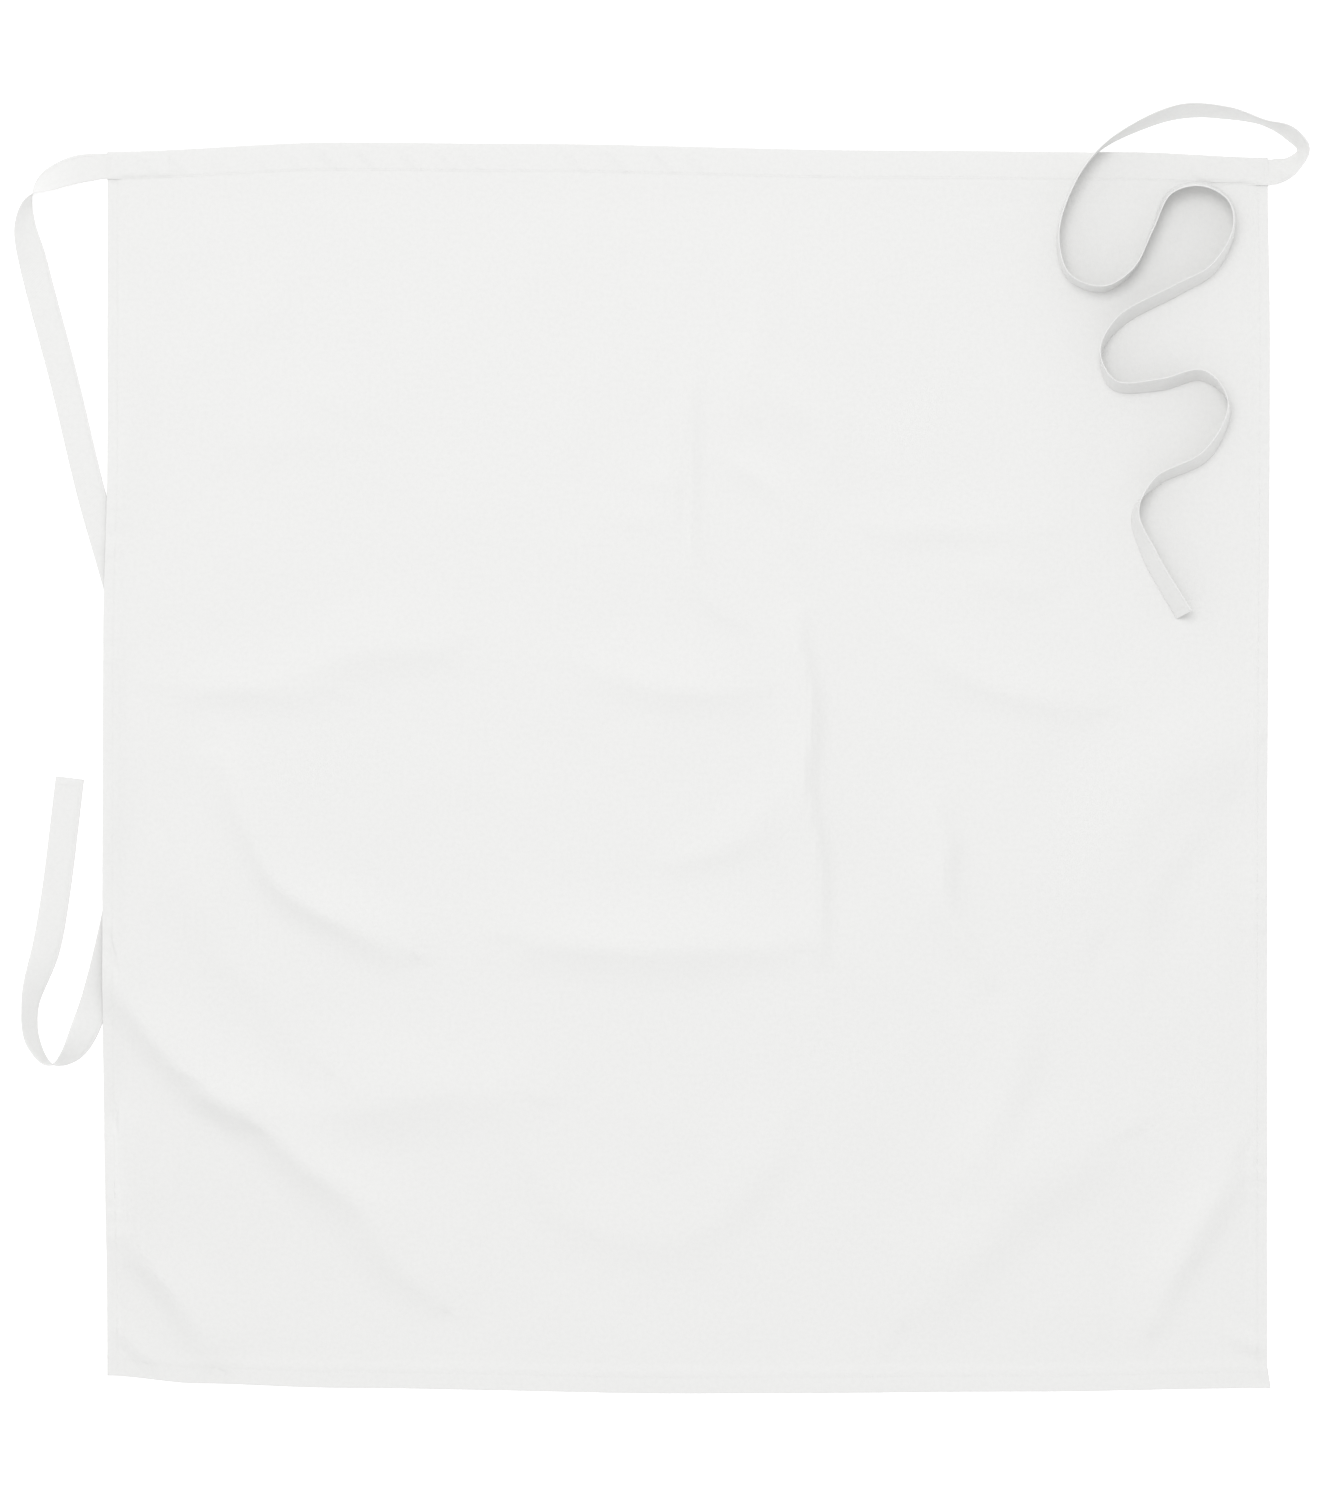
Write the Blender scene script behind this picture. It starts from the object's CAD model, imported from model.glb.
import math

import bpy
import numpy as np
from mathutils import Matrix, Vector


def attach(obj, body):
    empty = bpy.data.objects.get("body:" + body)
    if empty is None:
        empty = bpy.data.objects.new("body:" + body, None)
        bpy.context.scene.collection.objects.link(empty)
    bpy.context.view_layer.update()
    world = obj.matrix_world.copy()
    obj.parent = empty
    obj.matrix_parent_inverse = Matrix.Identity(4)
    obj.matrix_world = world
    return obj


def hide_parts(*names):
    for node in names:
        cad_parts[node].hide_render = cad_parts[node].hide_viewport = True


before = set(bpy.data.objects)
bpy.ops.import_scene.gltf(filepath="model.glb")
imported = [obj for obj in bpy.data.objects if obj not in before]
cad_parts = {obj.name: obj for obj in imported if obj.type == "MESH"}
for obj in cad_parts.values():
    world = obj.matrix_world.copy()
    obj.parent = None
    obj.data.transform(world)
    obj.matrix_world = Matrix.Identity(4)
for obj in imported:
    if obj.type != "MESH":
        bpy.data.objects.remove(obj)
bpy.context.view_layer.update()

bpy.ops.object.select_all(action="DESELECT")

# The view is straight down on the apron as it lies, from far enough that its sides stay parallel.
# The picture's middle falls a little to the left of the panel's middle and above it.
PHOTO_WIDTH = 1327
PHOTO_HEIGHT = 1500
METRES_A_PIXEL = 0.0008
PANEL_MIDDLE_ACROSS_PIXELS = 687.5
PANEL_MIDDLE_DOWN_PIXELS = 769
CAMERA_HEIGHT = 6.0
SENSOR = 36

view_x = (PHOTO_WIDTH / 2 - PANEL_MIDDLE_ACROSS_PIXELS) * METRES_A_PIXEL
view_y = (PANEL_MIDDLE_DOWN_PIXELS - PHOTO_HEIGHT / 2) * METRES_A_PIXEL
bpy.ops.object.camera_add(location=(view_x, view_y, CAMERA_HEIGHT), rotation=(0, 0, 0))
camera = bpy.context.object
camera.name = "camera_above"
camera.data.sensor_width = SENSOR
camera.data.lens = SENSOR * CAMERA_HEIGHT / (PHOTO_HEIGHT * METRES_A_PIXEL)
bpy.context.scene.camera = camera

# The panel is one rectangle of bleached cotton twill. It was unfolded from its packet and laid on its
# back, so it keeps soft rumples, a few sharper folds and the faint lines that it was pressed along.
PANEL_WIDTH = 0.930
PANEL_LENGTH = 0.990
CLOTH = 0.0006
GAP = 0.0002
LAYER = CLOTH + GAP
WAISTBAND = 0.0224
SIDE_HEM = 0.010
BOTTOM_HEM = 0.016
HEM_RADIUS = (CLOTH + LAYER) / 2
HEM_EASE = 0.008
BAND_EASE = 0.024
SEAM_DIP = 0.00012
SEAM_DIP_REACH = 0.002
SIDE_SEAM = 0.8 * SIDE_HEM
BOTTOM_SEAM = 0.8 * BOTTOM_HEM
FOLD_HEIGHT = 0.0105
FOLD_REACH = 0.036
GENTLE_SLOPE = 1.8
FOLD_POINTS = 13
WANDER = 0.0035
FREE_PAST_BAND = 0.06
CLOTH_STEP = 0.0046
COTTON_WHITE = "#E0E0DF"
COTTON_SHADE = "#DEDEDD"
GLOW_DEPTH = 0.002

# The twill's threads are drawn 0.4 mm apart with a slanting line every four of them, a little coarser
# than they really are, so that the weave shows. Slubs are thick and thin places in the threads.
TWILL_THREAD = 0.0004
TWILL_RELIEF = 0.00004
THREADS_A_LINE = 4
THREADS_A_SLUB = 8

# Soft waves all over the cloth. Each has its seed, its shortest and longest wave, and its height. The
# first two push the folds off their runs by WANDER times their height.
DRIFT_ACROSS = (17, 0.10, 0.25, 2.0)
DRIFT_ALONG = (19, 0.10, 0.25, 2.0)
BROAD_WAVES = (7, 0.09, 0.22, 0.0008)
FINE_WAVES = (11, 0.03, 0.07, 0.00016)

# How far each edge strays outwards from a true rectangle, as a share of the side that it moves along
WAIST_EDGE = {0: -0.001, 0.2: 0.0065, 0.35: 0.0055, 0.68: 0, 0.88: -0.0015, 1: -0.006}
BOTTOM_EDGE = {0: -0.01, 0.08: -0.0035, 0.2: 0, 0.5: 0.0045, 0.8: 0.003, 1: 0}
LEFT_EDGE = {0: -0.001, 0.25: -0.001, 0.4: 0.0025, 0.68: 0.003, 1: -0.001}
RIGHT_EDGE = {0: -0.001, 0.15: 0.001, 0.6: -0.0015, 0.98: -0.0015, 1: 0.0015}

# Each fold runs from one place through another to a third, as shares of the panel's width and length.
# The last three are its height and the reach of its slopes, as shares of FOLD_HEIGHT and FOLD_REACH, and
# how round its crest is, from 0 for a sharp one. The slope on the left of its run is the gentle one.
FOLDS = [
    ((0.012, 0.655), (0.045, 0.727), (0.125, 0.785), 1.15, 0.8, 0.15),
    ((0.085, 0.762), (0.165, 0.810), (0.290, 0.935), 1.15, 0.9, 0.12),
    ((0.014, 0.800), (0.030, 0.885), (0.098, 0.985), 1.3, 0.7, 0.12),
    ((0.004, 0.375), (0.002, 0.540), (0.008, 0.700), 0.5, 0.5, 0.2),
    ((0.100, 0.485), (0.158, 0.598), (0.265, 0.648), 1.0, 0.8, 0.15),
    ((0.055, 0.560), (0.115, 0.650), (0.190, 0.740), 0.35, 1.0, 0.5),
    ((0.063, 0.436), (0.120, 0.440), (0.192, 0.444), 0.4, 0.8, 0.15),
    ((0.166, 0.432), (0.230, 0.413), (0.304, 0.400), 0.35, 0.7, 0.15),
    ((0.130, 0.772), (0.252, 0.771), (0.355, 0.768), 0.5, 1.2, 0.2),
    ((0.351, 0.640), (0.467, 0.646), (0.596, 0.644), 0.65, 0.9, 0.1),
    ((0.420, 0.428), (0.485, 0.433), (0.553, 0.433), 0.45, 0.8, 0.12),
    ((0.502, 0.315), (0.512, 0.352), (0.545, 0.380), 0.3, 0.4, 0.12),
    ((0.532, 0.257), (0.572, 0.279), (0.595, 0.322), 0.4, 0.6, 0.12),
    ((0.618, 0.659), (0.607, 0.485), (0.594, 0.364), 0.75, 0.45, 0.1),
    ((0.553, 0.075), (0.557, 0.145), (0.562, 0.205), 0.3, 0.8, 0.4),
    ((0.575, 0.190), (0.603, 0.212), (0.624, 0.259), 0.3, 0.7, 0.2),
    ((0.503, 0.331), (0.502, 0.250), (0.502, 0.178), 0.35, 0.3, 0.1),
    ((0.487, 0.310), (0.486, 0.260), (0.485, 0.200), 0.28, 0.3, 0.1),
    ((0.659, 0.305), (0.730, 0.309), (0.803, 0.307), 0.3, 0.7, 0.15),
    ((0.745, 0.345), (0.770, 0.348), (0.797, 0.350), 0.18, 0.6, 0.2),
    ((0.704, 0.408), (0.760, 0.430), (0.855, 0.453), 0.45, 0.8, 0.15),
    ((0.758, 0.675), (0.728, 0.585), (0.704, 0.510), 0.65, 0.6, 0.12),
    ((0.489, 0.578), (0.545, 0.562), (0.585, 0.532), 0.3, 0.6, 0.2),
    ((0.850, 0.640), (0.890, 0.525), (0.997, 0.473), 0.5, 1.1, 0.5),
    ((0.890, 0.670), (0.905, 0.580), (0.950, 0.530), 0.35, 0.8, 0.4),
    ((0.695, 0.945), (0.785, 0.850), (0.863, 0.800), 0.5, 1.2, 0.4),
    ((0.734, 0.840), (0.781, 0.760), (0.777, 0.687), 0.4, 0.9, 0.4),
    ((0.906, 0.954), (0.935, 0.877), (0.973, 0.820), 0.7, 0.7, 0.2),
    ((0.344, 0.762), (0.372, 0.825), (0.413, 0.870), 0.25, 0.8, 0.3),
    ((0.405, 0.868), (0.470, 0.884), (0.520, 0.868), 0.25, 0.9, 0.3),
    ((0.512, 0.872), (0.555, 0.825), (0.585, 0.790), 0.3, 0.8, 0.3),
    ((0.006, 0.955), (0.018, 0.972), (0.040, 0.985), 0.5, 0.3, 0.15),
    ((0.010, 0.130), (0.016, 0.220), (0.014, 0.310), 0.35, 0.5, 0.3),
    ((0.975, 0.955), (0.985, 0.965), (0.994, 0.968), 0.3, 0.3, 0.15),
    ((0.165, 0.203), (0.190, 0.205), (0.220, 0.218), 0.18, 0.7, 0.3),
    ((0.090, 0.170), (0.120, 0.145), (0.150, 0.122), 0.18, 0.9, 0.5),
    ((0.115, 0.255), (0.150, 0.240), (0.190, 0.243), 0.2, 0.9, 0.4),
    ((0.455, 0.272), (0.475, 0.272), (0.490, 0.278), 0.15, 0.5, 0.2),
    ((0.430, 0.295), (0.450, 0.302), (0.465, 0.300), 0.12, 0.5, 0.2),
]


def stray(edge, share):
    """How far out an edge lies at a share of the way along it, eased from one known place to the next."""
    places = np.array(list(edge.keys()))
    out = np.array(list(edge.values()))
    share = np.clip(share, 0, 1)
    index = np.clip(np.searchsorted(places, share, side="right") - 1, 0, len(places) - 2)
    way = (share - places[index]) / (places[index + 1] - places[index])
    eased = way * way * (3 - 2 * way)
    return out[index] + (out[index + 1] - out[index]) * eased


def lay(across, down):
    """Where places on the cloth lie, given their distances across from the left and down from the waist."""
    across_share = np.clip(across / PANEL_WIDTH, 0, 1)
    down_share = np.clip(down / PANEL_LENGTH, 0, 1)
    left = -stray(LEFT_EDGE, down_share) * PANEL_WIDTH
    right = stray(RIGHT_EDGE, down_share) * PANEL_WIDTH
    waist = stray(WAIST_EDGE, across_share) * PANEL_LENGTH
    bottom = -stray(BOTTOM_EDGE, across_share) * PANEL_LENGTH
    x = across - PANEL_WIDTH / 2 + left + (right - left) * across_share
    y = PANEL_LENGTH / 2 - down + waist + (bottom - waist) * down_share
    return x, y


def slope(value, start, end):
    """1 up to the start, 0 past the end and an even fall between."""
    return 1 - np.clip((value - start) / (end - start), 0, 1)


def rounded(value, start, end):
    """The same with a rounded fall."""
    fall = slope(value, start, end)
    return fall * fall * (3 - 2 * fall)


def ridge(across, down, fold):
    """The height of one fold over places on the cloth."""
    start, through, end, height, reach, roundness = fold
    size = np.array([PANEL_WIDTH, PANEL_LENGTH])
    start, through, end = (np.array(point) * size for point in (start, through, end))
    corner = 2 * through - (start + end) / 2
    steps = np.linspace(0, 1, FOLD_POINTS)[:, None]
    line = (1 - steps) ** 2 * start + 2 * steps * (1 - steps) * corner + steps ** 2 * end
    highest = np.zeros_like(across)
    for index in range(len(line) - 1):
        run = line[index + 1] - line[index]
        away_x = across - line[index][0]
        away_y = down - line[index][1]
        share = np.clip((away_x * run[0] + away_y * run[1]) / (run @ run), 0, 1)
        on_left = away_y * run[0] < away_x * run[1]
        slope_reach = reach * FOLD_REACH * np.where(on_left, GENTLE_SLOPE, 1)
        distance = np.hypot(away_x - share * run[0], away_y - share * run[1]) / slope_reach
        softened = np.hypot(np.minimum(distance, 1), roundness) - roundness
        side = (1 - softened / (math.hypot(1, roundness) - roundness)) ** 2
        crest = np.sqrt(np.sin(np.pi * (index + share) / (len(line) - 1)))
        highest = np.maximum(highest, side * crest)
    return highest * height * FOLD_HEIGHT


def rumples(across, down, seed, shortest, longest, height):
    """Soft waves in all directions, never under 0, for cloth that doesn't lie quite flat."""
    chance = np.random.default_rng(seed)
    total = np.zeros_like(across)
    count = 14
    for _ in range(count):
        length = chance.uniform(shortest, longest)
        heading = chance.uniform(0, 2 * np.pi)
        shift = chance.uniform(0, 2 * np.pi)
        along = across * np.cos(heading) + down * np.sin(heading)
        total += np.sin(2 * np.pi * along / length + shift)
    return height * np.clip(total / math.sqrt(count / 2) + 1, 0, 4) / 2


def to_linear(colour):
    """An sRGB hex colour as linear red, green, blue and alpha."""
    parts = [int(colour[start:start + 2], 16) / 255 for start in (1, 3, 5)]
    linear = [part / 12.92 if part <= 0.04045 else ((part + 0.055) / 1.055) ** 2.4 for part in parts]
    return (*linear, 1)


def add_node(material, kind, settings, links):
    """Adds one node, sets its settings and inputs, and links its inputs from other nodes' outputs."""
    node = material.node_tree.nodes.new(kind)
    for name, value in settings.items():
        if isinstance(name, int) or name in node.inputs.keys():
            node.inputs[name].default_value = value
        else:
            setattr(node, name, value)
    for name, (source, output) in links.items():
        material.node_tree.links.new(source.outputs[output], node.inputs[name])
    return node


def woven_cotton(name, thread, relief, glow, light, shade):
    """Bleached cotton twill: matt white threads in a fine diagonal weave, each a little thicker or
    thinner than the next, with a bloom of loose fibre over them. The thread is their spacing, and the
    glow is the share of light that they let through."""
    material = bpy.data.materials.new(name)
    material.use_nodes = True
    material.node_tree.nodes.clear()
    cloth = add_node(material, "ShaderNodeTexCoord", {}, {})
    # A wave texture runs through 20 radians a unit, and a diagonal one through 10
    warp_scale = 2 * math.pi / (20 * thread)
    twill_scale = 2 * math.pi / (10 * THREADS_A_LINE * thread)
    twill = add_node(
        material,
        "ShaderNodeTexWave",
        {"bands_direction": "DIAGONAL", "Scale": twill_scale, "Distortion": 1.2, "Detail": 1.0},
        {"Vector": (cloth, "UV")},
    )
    warp = add_node(
        material,
        "ShaderNodeTexWave",
        {"bands_direction": "X", "Scale": warp_scale, "Distortion": 0.8, "Detail": 1.0},
        {"Vector": (cloth, "UV")},
    )
    slubs = add_node(
        material,
        "ShaderNodeTexNoise",
        {"Scale": 1 / (THREADS_A_SLUB * thread), "Detail": 3.0, "Roughness": 0.5},
        {"Vector": (cloth, "UV")},
    )
    weave = add_node(
        material,
        "ShaderNodeMath",
        {"operation": "MULTIPLY_ADD", 1: 0.5},
        {0: (warp, "Fac"), 2: (twill, "Fac")},
    )
    surface = add_node(
        material,
        "ShaderNodeMath",
        {"operation": "MULTIPLY_ADD", 1: 0.6},
        {0: (slubs, "Fac"), 2: (weave, "Value")},
    )
    tint = add_node(material, "ShaderNodeValToRGB", {}, {"Fac": (slubs, "Fac")})
    for stop, position, colour in zip(tint.color_ramp.elements, (0.35, 0.6), (shade, light)):
        stop.position = position
        stop.color = to_linear(colour)
    bump = add_node(
        material,
        "ShaderNodeBump",
        {"Strength": 1.0, "Distance": relief},
        {"Height": (surface, "Value")},
    )
    shader = add_node(
        material,
        "ShaderNodeBsdfPrincipled",
        {
            "Roughness": 0.92,
            "IOR": 1.46,
            "Specular IOR Level": 0.2,
            "Sheen Weight": 0.12,
            "Sheen Roughness": 0.6,
            "Subsurface Weight": glow,
            "Subsurface Radius": (1, 1, 1),
            "Subsurface Scale": GLOW_DEPTH,
        },
        {"Base Color": (tint, "Color"), "Normal": (bump, "Normal")},
    )
    add_node(material, "ShaderNodeOutputMaterial", {}, {"Surface": (shader, "BSDF")})
    return material


# The course of each tie from the band's end: the distance out from the panel's side and down from the
# band's middle, as shares of the tie's length, and its roll in degrees. At 90 and -90 it stands on an edge.
TIE_LENGTH = 1.032
TIE_SEWN_IN = 0.046
TIE_WIDTH = 0.023
TIE_CLOTH = 0.0009
BAND_RADIUS = (2 * CLOTH + 2 * LAYER + GAP) / 2
TIE_SLOT = 2 * LAYER
TIE_STEP = 0.003
ROLL_BLUR = 5
LEFT_TIE = [
    (0.004, 0, 0), (0.025, 0.003, 8), (0.047, 0.013, 38), (0.059, 0.025, 96), (0.063, 0.045, 132),
    (0.057, 0.076, 170), (0.034, 0.164, 180), (0.013, 0.252, 180), (-0.015, 0.357, 180),
    (-0.027, 0.465, 180), (-0.009, 0.57, 180), (0.014, 0.66, 180), (0.028, 0.688, 130),
    (0.043, 0.696, 86), (0.057, 0.678, 64), (0.059, 0.649, 58), (0.047, 0.605, 12), (0.04, 0.564, 0),
    (0.029, 0.474, 0),
]
RIGHT_TIE = [
    (0.004, 0, 0), (0.016, -0.004, -50), (0.027, -0.017, -72), (0.016, -0.03, -65), (-0.004, -0.038, -87),
    (-0.03, -0.045, -70), (-0.065, -0.047, -63), (-0.097, -0.037, -72), (-0.133, -0.015, -88),
    (-0.155, 0.019, -90), (-0.163, 0.052, -90), (-0.155, 0.081, -95), (-0.128, 0.091, -100),
    (-0.105, 0.076, -94), (-0.09, 0.045, -90), (-0.077, 0.017, -83), (-0.053, 0.01, -78),
    (-0.031, 0.022, -80), (-0.027, 0.044, -83), (-0.043, 0.075, -73), (-0.072, 0.092, -68),
    (-0.115, 0.116, -68), (-0.13, 0.14, -83), (-0.12, 0.165, -106), (-0.084, 0.165, -112),
    (-0.051, 0.158, -110), (-0.031, 0.18, -82), (-0.048, 0.219, -69), (-0.087, 0.24, -72),
    (-0.103, 0.264, -100), (-0.092, 0.297, -118), (-0.0655, 0.343, -122),
]


def smooth_line(points, steps):
    """A smooth line through points, in the same number of steps from each to the next."""
    points = np.array(points, float)
    before = 2 * points[0] - points[1]
    after = 2 * points[-1] - points[-2]
    ring = np.vstack([before, points, after])
    line = []
    for index in range(1, len(ring) - 2):
        a, b, c, d = ring[index - 1:index + 3]
        knots = np.cumsum([0, *(np.linalg.norm(q - p) ** 0.5 for p, q in ((a, b), (b, c), (c, d)))])
        for step in range(steps):
            t = knots[1] + (knots[2] - knots[1]) * step / steps
            ab = a + (b - a) * (t - knots[0]) / (knots[1] - knots[0])
            bc = b + (c - b) * (t - knots[1]) / (knots[2] - knots[1])
            cd = c + (d - c) * (t - knots[2]) / (knots[3] - knots[2])
            abc = ab + (bc - ab) * (t - knots[0]) / (knots[2] - knots[0])
            bcd = bc + (cd - bc) * (t - knots[1]) / (knots[3] - knots[1])
            line.append(abc + (bcd - abc) * (t - knots[1]) / (knots[2] - knots[1]))
    return np.vstack([line, points[-1]])


def tie_course(side, table):
    """The tie's centre line on the ground at even steps from its sewn end to its cut end, with its roll
    and its free length at each step."""
    edge = 0 if side < 0 else PANEL_WIDTH
    band_middle = (BAND_RADIUS + WAISTBAND) / 2
    exit_x, exit_y = (float(value) for value in lay(np.array(edge), np.array(band_middle)))
    rows = np.array(table)
    spots = np.column_stack([exit_x + side * rows[:, 0] * TIE_LENGTH, exit_y - rows[:, 1] * TIE_LENGTH])
    steps = 24
    line = smooth_line(spots, steps)
    rolls = np.interp(np.arange(len(line)) / steps, np.arange(len(rows)), rows[:, 2])
    line = np.vstack([[exit_x - side * TIE_SEWN_IN, exit_y], [exit_x, exit_y], line])
    rolls = np.concatenate([[0, 0], rolls])
    free = np.concatenate([[0], np.cumsum(np.hypot(*np.diff(line, axis=0).T))]) - TIE_SEWN_IN
    cut = min(TIE_LENGTH, free[-1])
    wanted = np.linspace(-TIE_SEWN_IN, cut, round((cut + TIE_SEWN_IN) / TIE_STEP) + 1)
    even = np.column_stack([np.interp(wanted, free, line[:, 0]), np.interp(wanted, free, line[:, 1])])
    turned = np.radians(np.interp(wanted, free, rolls))
    margin = ROLL_BLUR // 2
    turned[margin:-margin] = np.convolve(turned, np.ones(ROLL_BLUR) / ROLL_BLUR, "valid")
    return even, turned, wanted


left_line, left_rolls, left_free = tie_course(-1, LEFT_TIE)
right_line, right_rolls, right_free = tie_course(1, RIGHT_TIE)

# Sewing has drawn the side hems in a little, so short ripples stand along them here and there. Two
# sets of waves, each with its shortest, its longest and its height, place the patches and vary the pitch.
RIPPLE = 0.0009
RIPPLE_PITCH = 0.016
RIPPLE_FLAT = 0.004
RIPPLE_REACH = 0.026
RIPPLE_SLANT = 40
RIPPLE_AT_WAIST = 0.5
RIPPLE_GROWTH = 0.9
RIPPLE_PATCHES = (0.09, 0.25, 2.0)
PATCH_LEVEL = 0.7
PATCH_MOST = 1.5
RIPPLE_UNEVENNESS = (0.05, 0.11, 4.0)
HEM_SEEDS = (23, 29)


def hem_ripples(across, down):
    """Short ripples square to the side hems, in patches, strongest near the lower corners."""
    total = np.zeros_like(across)
    growth = RIPPLE_AT_WAIST + RIPPLE_GROWTH * down / PANEL_LENGTH
    for from_side, seed in zip((across, PANEL_WIDTH - across), HEM_SEEDS):
        level = rumples(down, down * 0, seed, *RIPPLE_PATCHES)
        patches = np.clip(level - PATCH_LEVEL, 0, PATCH_MOST)
        uneven = rumples(down, down * 0, seed + 2, *RIPPLE_UNEVENNESS)
        phase = 2 * np.pi * down / RIPPLE_PITCH + uneven + RIPPLE_SLANT * from_side
        wave = 0.5 + 0.5 * np.sin(phase)
        total += patches * wave * rounded(from_side, RIPPLE_FLAT, RIPPLE_REACH) * growth
    return RIPPLE * total


# Where the left tie passes under the panel, the cloth lies over it in a low rounded swell
TIE_SWELL_FLAT = 0.004
TIE_SWELL = 0.030


def tie_swell(across, down):
    """How much the tie that passes underneath lifts the cloth."""
    x, y = lay(across, down)
    nearest = np.full_like(across, 1.0)
    for spot in left_line[::4]:
        nearest = np.minimum(nearest, np.hypot(x - spot[0], y - spot[1]))
    tie_edge = TIE_WIDTH / 2
    return (TIE_CLOTH + GAP) * rounded(nearest, tie_edge + TIE_SWELL_FLAT, tie_edge + TIE_SWELL)


def lift(across, down):
    """How high the underside of the lowest layer of cloth lies above the table."""
    across, down = np.broadcast_arrays(np.asarray(across, float), np.asarray(down, float))
    aside = WANDER * (rumples(across, down, *DRIFT_ACROSS) - 1)
    along = WANDER * (rumples(across, down, *DRIFT_ALONG) - 1)
    total = sum(ridge(across + aside, down + along, fold) for fold in FOLDS)
    total = total + tie_swell(across, down)
    total = total + hem_ripples(across, down)
    total = total + rumples(across, down, *BROAD_WAVES)
    total = total + rumples(across, down, *FINE_WAVES)
    return total * (1 - slope(down, WAISTBAND, WAISTBAND + FREE_PAST_BAND))


def underside(across, down):
    """How high the panel's own underside lies, which steps up onto the cloth turned under its edges."""
    on_hem = np.maximum.reduce([
        rounded(across, SIDE_HEM, SIDE_HEM + HEM_EASE),
        rounded(PANEL_WIDTH - across, SIDE_HEM, SIDE_HEM + HEM_EASE),
        rounded(down, WAISTBAND, WAISTBAND + BAND_EASE),
        rounded(PANEL_LENGTH - down, BOTTOM_HEM, BOTTOM_HEM + HEM_EASE),
    ])
    from_seam = np.minimum.reduce([
        np.abs(across - SIDE_SEAM),
        np.abs(PANEL_WIDTH - across - SIDE_SEAM),
        np.abs(PANEL_LENGTH - down - BOTTOM_SEAM),
    ])
    return lift(across, down) + LAYER * on_hem - SEAM_DIP * rounded(from_seam, 0, SEAM_DIP_REACH)


# Where the cloth's mesh has lines, as shares of a hem's width and of the rise beyond it
HEM_LINES = (0, 0.3, 0.6, 0.7, 0.8, 0.9, 1)
RISE_LINES = (0.2, 0.45, 0.7, 1)


def graded_lines(size, start_hem, end_hem, start_inset, end_inset):
    """Even lines over the cloth, with closer ones where it rises onto a hem and is sewn down."""
    start = [start_inset + (start_hem - start_inset) * share for share in HEM_LINES]
    start += [start_hem + HEM_EASE * share for share in RISE_LINES]
    end = [size - end_inset - (end_hem - end_inset) * share for share in HEM_LINES]
    end += [size - end_hem - HEM_EASE * share for share in RISE_LINES]
    count = round((end[-1] - start[-1]) / CLOTH_STEP)
    middle = np.linspace(start[-1], end[-1], count + 1)[1:-1]
    return np.concatenate([start, middle, end[::-1]])


def cloth_mesh(name, places, texture, closed_round=False):
    """A mesh of quads through a grid of places, with each one's spot on the flat cloth as its UV."""
    rows, columns = places.shape[:2]
    faces = []
    for row in range(rows - 1):
        for column in range(columns if closed_round else columns - 1):
            beside = (column + 1) % columns
            faces.append((
                row * columns + column,
                (row + 1) * columns + column,
                (row + 1) * columns + beside,
                row * columns + beside,
            ))
    if closed_round:
        faces.append(tuple(range(columns)))
        faces.append(tuple(reversed(range((rows - 1) * columns, rows * columns))))
    mesh = bpy.data.meshes.new(name)
    mesh.from_pydata([tuple(place) for place in places.reshape(-1, 3)], [], faces)
    mesh.update()
    flat = texture.reshape(-1, 2)
    layer = mesh.uv_layers.new(name="flat_cloth")
    corners = np.zeros(len(mesh.loops), int)
    mesh.loops.foreach_get("vertex_index", corners)
    layer.data.foreach_set("uv", flat[corners].ravel())
    piece = bpy.data.objects.new(name, mesh)
    bpy.context.scene.collection.objects.link(piece)
    return piece


def finished(piece, material, slot, *nodes):
    """Turns a piece's faces out, smooths it, gives it its cloth and lets it stand for its solids."""
    bpy.ops.object.select_all(action="DESELECT")
    bpy.context.view_layer.objects.active = piece
    piece.select_set(True)
    bpy.ops.object.mode_set(mode="EDIT")
    bpy.ops.mesh.select_all(action="SELECT")
    bpy.ops.mesh.normals_make_consistent(inside=False)
    bpy.ops.object.mode_set(mode="OBJECT")
    bpy.ops.object.shade_smooth_by_angle(angle=math.radians(60))
    piece.data.materials.append(material)
    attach(piece, "root")
    if nodes:
        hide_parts(*nodes)
    piece.select_set(False)


apron_twill = woven_cotton(
    "bleached_cotton_twill", TWILL_THREAD, TWILL_RELIEF, 0, COTTON_WHITE, COTTON_SHADE,
)

panel_columns = graded_lines(PANEL_WIDTH, SIDE_HEM, SIDE_HEM, HEM_RADIUS, HEM_RADIUS)
panel_rows = graded_lines(PANEL_LENGTH, WAISTBAND, BOTTOM_HEM, BAND_RADIUS, HEM_RADIUS)
across, down = np.meshgrid(panel_columns, panel_rows)
x, y = lay(across, down)
z = underside(across, down) + CLOTH
panel = cloth_mesh("apron_cloth", np.dstack([x, y, z]), np.dstack([across, down]))
wall = panel.modifiers.new("cloth_wall", "SOLIDIFY")
wall.thickness = CLOTH
wall.offset = -1
bpy.context.view_layer.objects.active = panel
bpy.ops.object.modifier_apply(modifier=wall.name)
finished(panel, apron_twill, "apron_cloth", "apron_panel")


# The hems are the panel's own edges, turned under and sewn down: a narrow one on each side and a
# deeper one along the bottom. Each rolls round at the edge and lies flat underneath.
ROLL_STEPS = 8


def fold_round(radius, middle):
    """A half round from the top of a fold to its foot, as distances in from the edge and up."""
    angles = np.pi * (0.5 + np.arange(ROLL_STEPS + 1) / ROLL_STEPS)
    return np.column_stack([middle + radius * np.cos(angles), middle + radius * np.sin(angles)])


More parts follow.
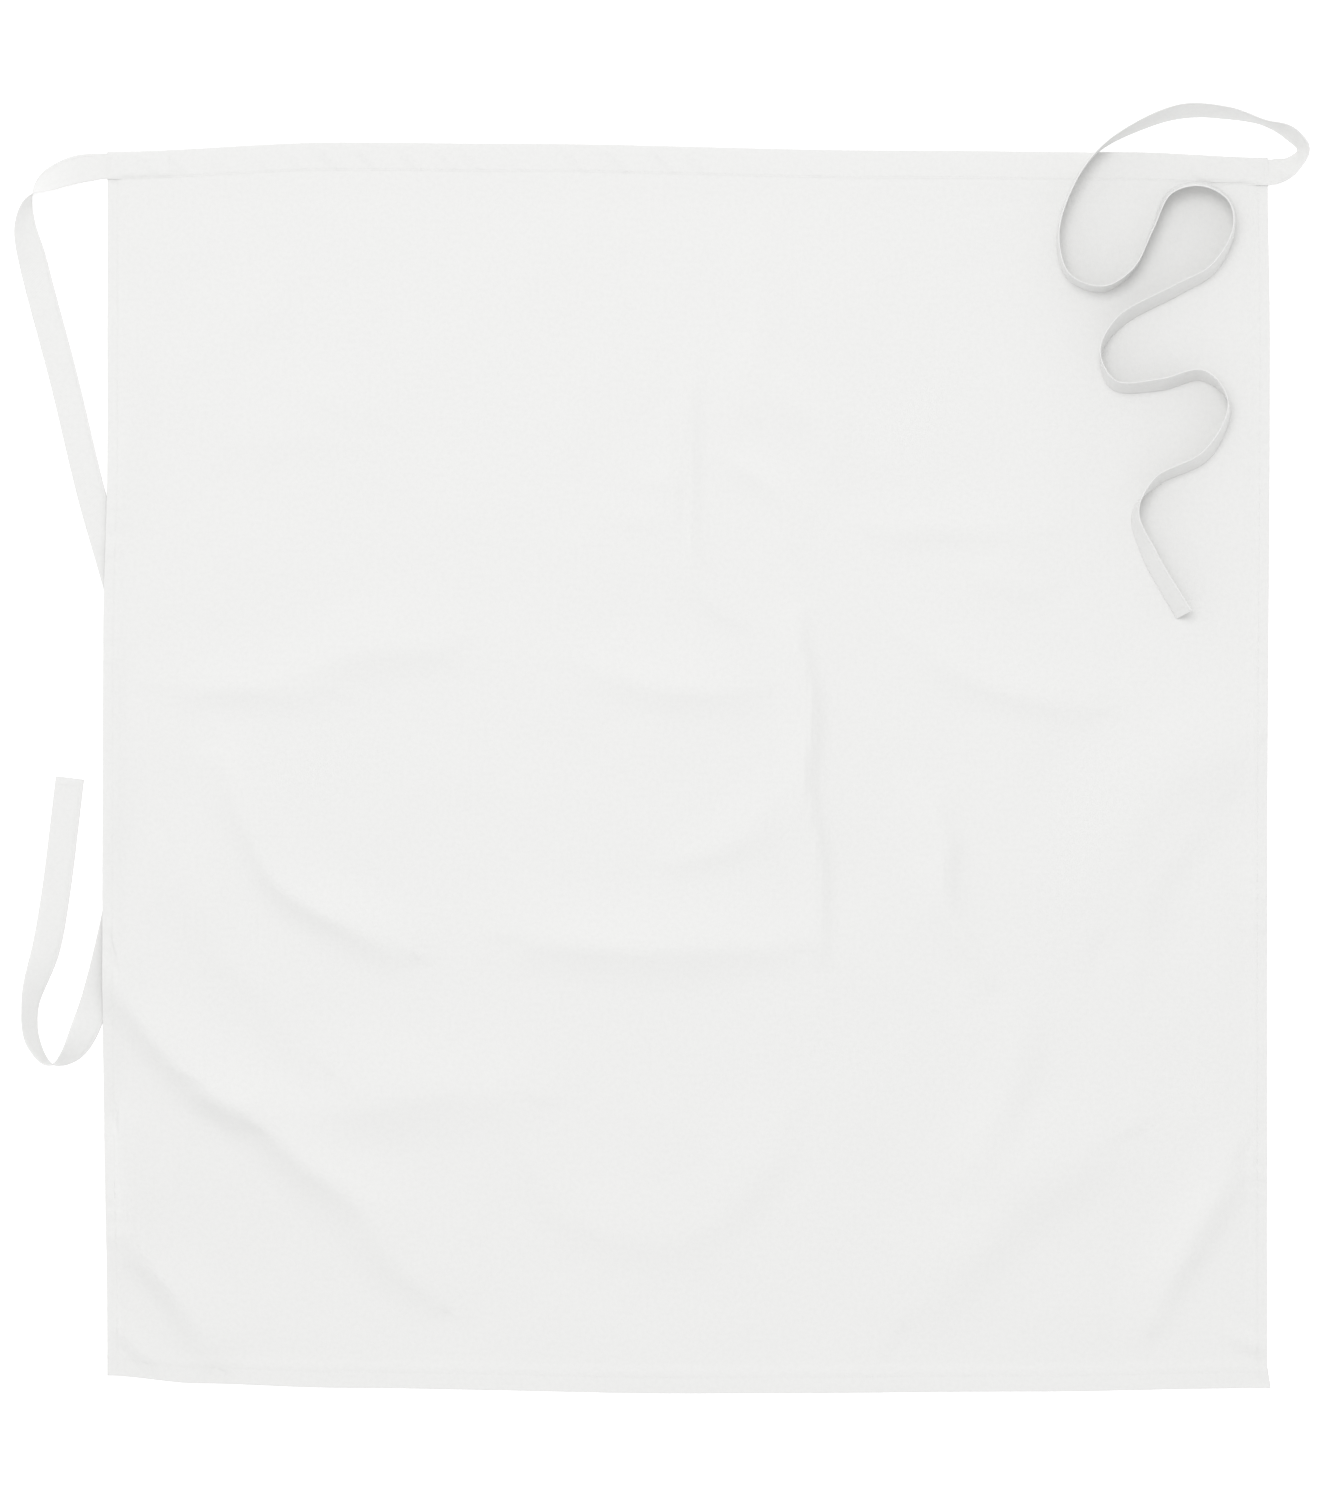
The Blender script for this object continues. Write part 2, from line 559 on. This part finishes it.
def fold_loop(width, radius, upper_leg):
    """The outline of a folded strip, once round its wall: down its outside and back along its inside."""
    outside = [*fold_round(radius, radius), (width, 0)]
    inside = [*fold_round(radius - CLOTH, radius), (width, CLOTH)]
    if upper_leg:
        outside = [(width, 2 * radius), *outside]
        inside = [(width, 2 * radius - CLOTH), *inside]
    return np.array(outside + inside[::-1])


def hem(name, node, width, stations, on_cloth):
    """A turned-under strip along one edge, following the lie of the cloth over it."""
    outline = fold_loop(width, HEM_RADIUS, False)
    inward, along = np.meshgrid(outline[:, 0], stations)
    across, down = on_cloth(inward, along)
    x, y = lay(across, down)
    z = lift(across, down) + outline[:, 1][None, :]
    strip = cloth_mesh(name, np.dstack([x, y, z]), np.dstack([across, down]), closed_round=True)
    finished(strip, apron_twill, "apron_cloth", node)
    return strip


between_hems = panel_rows[len(HEM_LINES) - 1:1 - len(HEM_LINES)]
side_stations = np.concatenate([[WAISTBAND + GAP], between_hems, [PANEL_LENGTH - BOTTOM_HEM - GAP]])
left_hem = hem(
    "left_hem_fold", "left_side_hem", SIDE_HEM, side_stations,
    lambda inward, along: (inward, along),
)
right_hem = hem(
    "right_hem_fold", "right_side_hem", SIDE_HEM, side_stations,
    lambda inward, along: (PANEL_WIDTH - inward, along),
)
bottom_stations = np.concatenate([[0], panel_columns[1:-1], [PANEL_WIDTH]])
bottom_fold = hem(
    "bottom_hem_fold", "bottom_hem", BOTTOM_HEM, bottom_stations,
    lambda inward, along: (along, PANEL_LENGTH - inward),
)

# The waistband is the top edge folded over into a casing and sewn down along its lower edge. The sewing
# has drawn it into slanting puckers, and the tie ends inside make it thicker at both ends.
BAND_STEP = 0.0025
PUCKER_WIDTH = 0.0036
PUCKER_SLANT = 0.95
PUCKER_HEIGHT = 0.0016

# Towards its lower edge the band's upper cloth is pressed down onto the panel and gets thinner, so
# that the sewn edge shows as a fine line and not as a step. The shares are of the band's width.
SEWN_GAP = 0.00005
SEWN_CLOTH = 0.0002
SEWN_BEVEL = 0.7 * SEWN_CLOTH
SEWN_FROM = 0.86
SEAM_SHARE = 0.93

# How far in from each end the inner row of stitches is, and where the band is thin again
INNER_SEAM = TIE_SEWN_IN + 0.004
BAND_THIN = TIE_SEWN_IN + 0.020

# The band's upper face is at its full height over half its width, and over 0.32 more where a tie end is
# inside. Its lower edge is sewn down, but for the last 6 mm at each end it lies on the tie end.
FULL_UNTIL = 0.5
FULL_OVER_TIE = 0.32
EDGE_LIFTED = 0.006
EDGE_DOWN = 0.014


def band_swell(across):
    """How much the sewn-in tie ends add to the band's thickness."""
    from_side = np.minimum(across, PANEL_WIDTH - across)
    return (TIE_CLOTH + GAP) * rounded(from_side, INNER_SEAM, BAND_THIN)


# Where the puckers cross the band's middle, as shares of the panel's width, each with its strength
PUCKERS = {
    0.012: 0.5, 0.035: 0.7, 0.060: 0.6, 0.095: 0.5, 0.130: 0.5, 0.160: 0.4, 0.189: 0.9, 0.221: 1.0,
    0.258: 0.8, 0.290: 0.8, 0.312: 0.6, 0.350: 0.4, 0.400: 0.8, 0.436: 1.0, 0.477: 1.0, 0.505: 0.8,
    0.550: 0.4, 0.600: 0.3, 0.690: 0.2, 0.820: 0.15, 0.935: 0.4, 0.975: 0.4,
}


def puckers(across, down):
    """Slanting gathers from the upper left to the lower right, strongest in the left half of the band."""
    slanted = across - PUCKER_SLANT * (down - WAISTBAND / 2)
    total = np.zeros_like(across + down)
    for share, strength in PUCKERS.items():
        aside = (slanted - share * PANEL_WIDTH) / PUCKER_WIDTH
        total = total + strength * np.exp(-aside * aside)
    held = np.sin(np.pi * np.clip(down / WAISTBAND, 0, 1)) ** 0.7
    return PUCKER_HEIGHT * total * held


def band_top(across, down):
    """How high the band's upper face is. It is sewn down along its lower edge and rises from there
    over the cloth and the tie ends inside. At the very ends that edge lies on the tie."""
    from_side = np.minimum(across, PANEL_WIDTH - across)
    swell = band_swell(across)
    low = LAYER + CLOTH + SEWN_GAP + SEWN_CLOTH + swell * rounded(from_side, EDGE_LIFTED, EDGE_DOWN)
    full = 2 * BAND_RADIUS - (TIE_CLOTH + GAP) + swell
    full_until = FULL_UNTIL + FULL_OVER_TIE * swell / (TIE_CLOTH + GAP)
    return low + (full - low) * rounded(down / WAISTBAND, full_until, 1.0)


band_stations = np.linspace(0, PANEL_WIDTH, round(PANEL_WIDTH / BAND_STEP) + 1)
legs = np.array([1, 0.98, 0.96, SEAM_SHARE, 0.90, 0.83, 0.74, 0.64, 0.52, 0.38, 0.25])
sections = []
flats = []
for station in band_stations:
    swell = float(band_swell(np.array(station)))
    radius = BAND_RADIUS - (TIE_CLOTH + GAP - swell) / 2
    wall = SEWN_CLOTH + (CLOTH - SEWN_CLOTH) * rounded(legs, SEWN_FROM, 1)
    bevel = SEWN_BEVEL * (1 - rounded(legs, SEAM_SHARE, 1))
    above = band_top(np.full(len(legs), station), legs * WAISTBAND) - bevel
    below = above - wall + bevel
    outside = [*zip(legs * WAISTBAND, above), *fold_round(radius, radius), (WAISTBAND, 0)]
    inside = [(WAISTBAND, CLOTH), *fold_round(radius - CLOTH, radius)[::-1]]
    inside += [*zip(legs[::-1] * WAISTBAND, below[::-1])]
    outline = np.array(outside + inside)
    inward = outline[:, 0]
    across = np.full(len(outline), station)
    x, y = lay(across, inward)
    upper = outline[:, 1] > radius
    z = outline[:, 1] + np.where(upper, puckers(across, inward), 0)
    sections.append(np.column_stack([x, y, z]))
    flats.append(np.column_stack([across, inward]))
band = cloth_mesh("waistband_casing", np.array(sections), np.array(flats), closed_round=True)
finished(band, apron_twill, "apron_cloth", "waistband")

# The ties are long strips of the same cotton, folded lengthwise, pressed flat and sewn along one edge.
# The left one turns over once and passes under the panel. The right one stands on its edge in loops.
TIE_EDGE = 0.00045
TIE_SEAM = -0.83
TIE_SEAM_SINK = 0.75
TIE_STRAIGHT = 0.004
TIE_TUCK = 0.004
TUCK_START = -0.012
TUCK_END = -0.004
GROUND_STEPS = 5
TIE_GLOW = 0.05
BAND_TOP = 2 * CLOTH + LAYER + GAP
tie_twill = woven_cotton(
    "pressed_cotton_tape", TWILL_THREAD, TWILL_RELIEF, TIE_GLOW, COTTON_WHITE, COTTON_SHADE,
)


def ground_under(x, y):
    """How high the band, the panel or the table is under points."""
    across = x + PANEL_WIDTH / 2
    down = PANEL_LENGTH / 2 - y
    guess_x, guess_y = lay(across, down)
    across = across + x - guess_x
    down = down - y + guess_y
    off = (across < 0) | (across > PANEL_WIDTH) | (down < 0) | (down > PANEL_LENGTH)
    on_panel = underside(across, down) + CLOTH
    on_band = BAND_TOP + band_swell(across)
    height = np.where(down < WAISTBAND, on_band, on_panel)
    return np.where(off, 0, height + GAP)


def spread(values, reach, kind):
    """The highest or the mean of each value and its neighbours."""
    padded = np.pad(values, reach, mode="edge")
    windows = np.lib.stride_tricks.sliding_window_view(padded, 2 * reach + 1)
    return windows.max(1) if kind == "highest" else windows.mean(1)


def tie_outline(half_width, half_thick):
    """Once round the tie's section: flat faces with a shallow seam line, and rounded edges."""
    shares = np.array([-0.93, -0.86, TIE_SEAM, -0.80, -0.6, -0.3, 0, 0.3, 0.6, 0.9])
    seam = np.where(shares == TIE_SEAM, TIE_SEAM_SINK, 1.0)
    face = np.column_stack([shares * (half_width - TIE_EDGE), seam * half_thick])
    turn = np.array([60, 30, 0, -30, -60])
    edge = np.column_stack([
        half_width - TIE_EDGE + TIE_EDGE * np.cos(np.radians(turn)),
        half_thick * np.sin(np.radians(turn)),
    ])
    back = face[::-1] * np.array([1, -1])
    other = edge[::-1] * np.array([-1, 1])
    return np.vstack([face, edge, back, other])


def tie(name, node, line, rolls, free, on_cloth):
    """A flat strip that follows its course, resting on one edge or on its face wherever it turns."""
    heading = np.gradient(line, axis=0)
    heading[free <= TIE_STRAIGHT] = (np.sign(line[1][0] - line[0][0]), 0)
    heading /= np.linalg.norm(heading, axis=1)[:, None]
    left = np.column_stack([-heading[:, 1], heading[:, 0], np.zeros(len(line))])
    up = np.array([0, 0, 1.0])
    half = TIE_WIDTH / 2 * np.ones(len(line))
    sewn_width = WAISTBAND - BAND_RADIUS - 2 * GAP
    half -= (TIE_WIDTH - sewn_width) / 2 * rounded(free, 0, TIE_WIDTH)
    half -= TIE_TUCK / 2 * rounded(free, TUCK_START, TUCK_END)
    across = np.cos(rolls)[:, None] * left + np.sin(rolls)[:, None] * up
    normal = -np.sin(rolls)[:, None] * left + np.cos(rolls)[:, None] * up
    if on_cloth:
        reach = half * np.abs(np.cos(rolls)) + TIE_CLOTH
        spots = [line + left[:, :2] * (share * reach)[:, None] for share in (-1, -0.5, 0, 0.5, 1)]
        ground = np.max([ground_under(spot[:, 0], spot[:, 1]) for spot in spots], axis=0)
    else:
        ground = np.zeros(len(line))
    ground = spread(spread(ground, GROUND_STEPS, "highest"), GROUND_STEPS, "mean")
    in_band = rounded(free, 0, TIE_WIDTH)
    ground = ground * (1 - in_band) + TIE_SLOT * in_band
    rise = half * np.abs(np.sin(rolls)) + TIE_CLOTH / 2 * np.abs(np.cos(rolls))
    centre = np.column_stack([line, ground + rise])
    sections = []
    flats = []
    for index in range(len(line)):
        outline = tie_outline(half[index], TIE_CLOTH / 2)
        sections.append(
            centre[index] + outline[:, :1] * across[index] + outline[:, 1:] * normal[index]
        )
        flats.append(np.column_stack([outline[:, 0], np.full(len(outline), free[index])]))
    strip = cloth_mesh(name, np.array(sections), np.array(flats), closed_round=True)
    finished(strip, tie_twill, "tie_cloth", node)
    return centre, across, normal, half


left_frame = tie("left_tie_strip", "left_tie", left_line, left_rolls, left_free, False)
right_frame = tie(
    "right_tie_strip", "right_tie", right_line, right_rolls, right_free, True,
)

# Every hem and the band are sewn down with one row of small white stitches, and so is each tie's long
# edge. Short cross rows close the ends of the band and hold the ties' ends inside it.
STITCH = 0.0021
STITCH_PITCH = 0.0028
THREAD = 0.00038
THREAD_FIBRE = 0.0001
FIBRE_RELIEF = 0.00001
STITCH_SIDES = 6

# Five places along a stitch, as a share of its length from its middle, with the thread's thickness and
# height there as shares of THREAD
STITCH_PLACES = (
    (-0.5, 0.4, -0.25), (-0.3, 0.9, 0.15), (0, 1, 0.25), (0.3, 0.9, 0.15), (0.5, 0.4, -0.25),
)
thread_white = woven_cotton(
    "white_sewing_thread", THREAD_FIBRE, FIBRE_RELIEF, 0, COTTON_WHITE, COTTON_WHITE,
)


def stitch_row(name, slot, route, upward):
    """One row of stitches along a route, each a short thread that bows out of the cloth and back in."""
    run = np.concatenate([[0], np.cumsum(np.linalg.norm(np.diff(route, axis=0), axis=1))])
    middles = np.arange(STITCH_PITCH, run[-1] - STITCH_PITCH / 2, STITCH_PITCH)
    points = []
    faces = []
    for middle in middles:
        spot = np.array([np.interp(middle, run, route[:, axis]) for axis in range(3)])
        ahead = np.array([np.interp(middle + STITCH / 2, run, route[:, axis]) for axis in range(3)])
        along = (ahead - spot) / np.linalg.norm(ahead - spot)
        up = np.array([np.interp(middle, run, upward[:, axis]) for axis in range(3)])
        aside = np.cross(up, along)
        aside /= np.linalg.norm(aside)
        first = len(points)
        for share, girth, height in STITCH_PLACES:
            for turn in np.arange(STITCH_SIDES) * 2 * np.pi / STITCH_SIDES:
                round_it = girth * THREAD / 2 * (np.cos(turn) * aside + np.sin(turn) * up)
                points.append(spot + share * STITCH * along + height * THREAD * up + round_it)
        for ring in range(len(STITCH_PLACES) - 1):
            for side in range(STITCH_SIDES):
                a = first + ring * STITCH_SIDES + side
                b = first + ring * STITCH_SIDES + (side + 1) % STITCH_SIDES
                faces.append((a, b, b + STITCH_SIDES, a + STITCH_SIDES))
        faces.append(tuple(range(first + STITCH_SIDES - 1, first - 1, -1)))
        last = first + (len(STITCH_PLACES) - 1) * STITCH_SIDES
        faces.append(tuple(range(last, last + STITCH_SIDES)))
    mesh = bpy.data.meshes.new(name)
    mesh.from_pydata([tuple(point) for point in points], [], faces)
    mesh.update()
    row = bpy.data.objects.new(name, mesh)
    bpy.context.scene.collection.objects.link(row)
    finished(row, thread_white, slot)


def over_panel(across, down):
    """A route over the panel's upper face, with the way up at each point."""
    across, down = np.broadcast_arrays(np.asarray(across, float), np.asarray(down, float))
    x, y = lay(across, down)
    route = np.column_stack([x, y, underside(across, down) + CLOTH])
    return route, np.tile([0, 0, 1.0], (len(route), 1))


def over_band(across, down):
    """A route over the waistband, with the way up at each point."""
    across, down = np.broadcast_arrays(np.asarray(across, float), np.asarray(down, float))
    x, y = lay(across, down)
    height = band_top(across, down) + puckers(across, down)
    return np.column_stack([x, y, height]), np.tile([0, 0, 1.0], (len(x), 1))


SEAM_START = 0.001
SEAM_INSET = 0.002
SEAM_POINTS = 400
END_SEAM = 0.003
END_SEAM_POINTS = 12
BAND_SEAM = SEAM_SHARE * WAISTBAND
seam_downs = np.linspace(WAISTBAND + SEAM_START, PANEL_LENGTH - SEAM_INSET, SEAM_POINTS)
seam_acrosses = np.linspace(SEAM_INSET, PANEL_WIDTH - SEAM_INSET, SEAM_POINTS)
stitch_row("left_hem_stitches", "apron_cloth", *over_panel(SIDE_SEAM, seam_downs))
stitch_row("right_hem_stitches", "apron_cloth", *over_panel(PANEL_WIDTH - SIDE_SEAM, seam_downs))
stitch_row("bottom_hem_stitches", "apron_cloth", *over_panel(seam_acrosses, PANEL_LENGTH - BOTTOM_SEAM))
stitch_row("waistband_stitches", "apron_cloth", *over_band(seam_acrosses, BAND_SEAM))
band_downs = np.linspace(END_SEAM, BAND_SEAM, END_SEAM_POINTS)
for end_name, from_left in (("left", 0), ("right", 1)):
    for row_name, inset in (("end", END_SEAM), ("inner", INNER_SEAM)):
        place_across = inset + from_left * (PANEL_WIDTH - 2 * inset)
        row_name = f"waistband_{end_name}_{row_name}_stitches"
        stitch_row(row_name, "apron_cloth", *over_band(place_across, band_downs))

# Each tie's seam shows from a little way out of the band. Its cut end is closed by a row across, from
# the seam almost to the other edge.
TIE_END_SEAM = 0.006
TIE_END_ROW = (-0.8, 0.92)
TIE_END_POINTS = 8
STEPS_OUT = 3
for tie_name, (centre, across, normal, half) in (("left_tie", left_frame), ("right_tie", right_frame)):
    shown = slice(round(TIE_SEWN_IN / TIE_STEP) + STEPS_OUT, None)
    seam_line = centre + across * (TIE_SEAM * (half - TIE_EDGE))[:, None]
    for face_name, side in (("upper", 1), ("lower", -1)):
        route = seam_line + side * normal * TIE_CLOTH / 2 * TIE_SEAM_SINK
        stitch_row(f"{tie_name}_{face_name}_stitches", "tie_cloth", route[shown], side * normal[shown])
        end = len(centre) - 1 - round(TIE_END_SEAM / TIE_STEP)
        shares = np.linspace(*TIE_END_ROW, TIE_END_POINTS)[:, None] * half[end]
        route = centre[end] + shares * across[end] + side * normal[end] * TIE_CLOTH / 2
        facing = np.tile(side * normal[end], (len(route), 1))
        stitch_row(f"{tie_name}_{face_name}_end_stitches", "tie_cloth", route, facing)

# The table is a white light table. It glows a little, so no shadow shows on it and the apron's edges
# stay bright.
TABLE_SIZE = 12
TABLE_WHITE = "#FCFCFC"
TABLE_GLOW = 0.27
bpy.ops.mesh.primitive_plane_add(size=TABLE_SIZE, location=(0, 0, -GAP))
tabletop = bpy.context.object
tabletop.name = "tabletop"
board = bpy.data.materials.new("lit_opal_acrylic")
board.use_nodes = True
board.node_tree.nodes.clear()
acrylic = add_node(
    board,
    "ShaderNodeBsdfPrincipled",
    {
        "Base Color": to_linear(TABLE_WHITE),
        "Roughness": 0.7,
        "Emission Color": to_linear(TABLE_WHITE),
        "Emission Strength": TABLE_GLOW,
    },
    {},
)
add_node(board, "ShaderNodeOutputMaterial", {}, {"Surface": (acrylic, "BSDF")})
tabletop.data.materials.append(board)

# A soft lamp stands high beyond the waist and a little to the left. A wide softbox hangs beyond the
# waist too, almost overhead, so the lower edge is a little dimmer. The room's walls are brighter than
# its ceiling, which fills the shadows and lights the tie that stands on its edge.
LAMP_FROM = Vector((-0.14, 0.31, 1.0))
LAMP_DISTANCE = 3
LAMP_STRENGTH = 0.58
LAMP_SPREAD = math.radians(24)
SOFTBOX_AT = Vector((-0.3, 0.9, 3.0))
SOFTBOX_WIDTH = 1.8
SOFTBOX_HEIGHT = 1.4
SOFTBOX_POWER = 20
WALLS = 1.13
CEILING = 0.677
bpy.ops.object.light_add(type="SUN", location=LAMP_FROM * LAMP_DISTANCE)
lamp = bpy.context.object
lamp.name = "soft_lamp"
lamp.rotation_euler = LAMP_FROM.to_track_quat("Z", "Y").to_euler()
lamp.data.energy = LAMP_STRENGTH
lamp.data.angle = LAMP_SPREAD
bpy.ops.object.light_add(type="AREA", location=SOFTBOX_AT)
softbox = bpy.context.object
softbox.name = "wide_softbox"
softbox.rotation_euler = SOFTBOX_AT.to_track_quat("Z", "Y").to_euler()
softbox.data.shape = "RECTANGLE"
softbox.data.size = SOFTBOX_WIDTH
softbox.data.size_y = SOFTBOX_HEIGHT
softbox.data.energy = SOFTBOX_POWER
room = bpy.data.worlds.new("white_room")
room.use_nodes = True
aloft = add_node(room, "ShaderNodeTexCoord", {}, {})
upward = add_node(room, "ShaderNodeSeparateXYZ", {}, {"Vector": (aloft, "Generated")})
brightness = add_node(
    room,
    "ShaderNodeMapRange",
    {"To Min": WALLS, "To Max": CEILING},
    {"Value": (upward, "Z")},
)
background = room.node_tree.nodes["Background"]
background.inputs["Color"].default_value = (1, 1, 1, 1)
room.node_tree.links.new(brightness.outputs["Result"], background.inputs["Strength"])
bpy.context.scene.world = room
bpy.context.scene.view_settings.view_transform = "Standard"
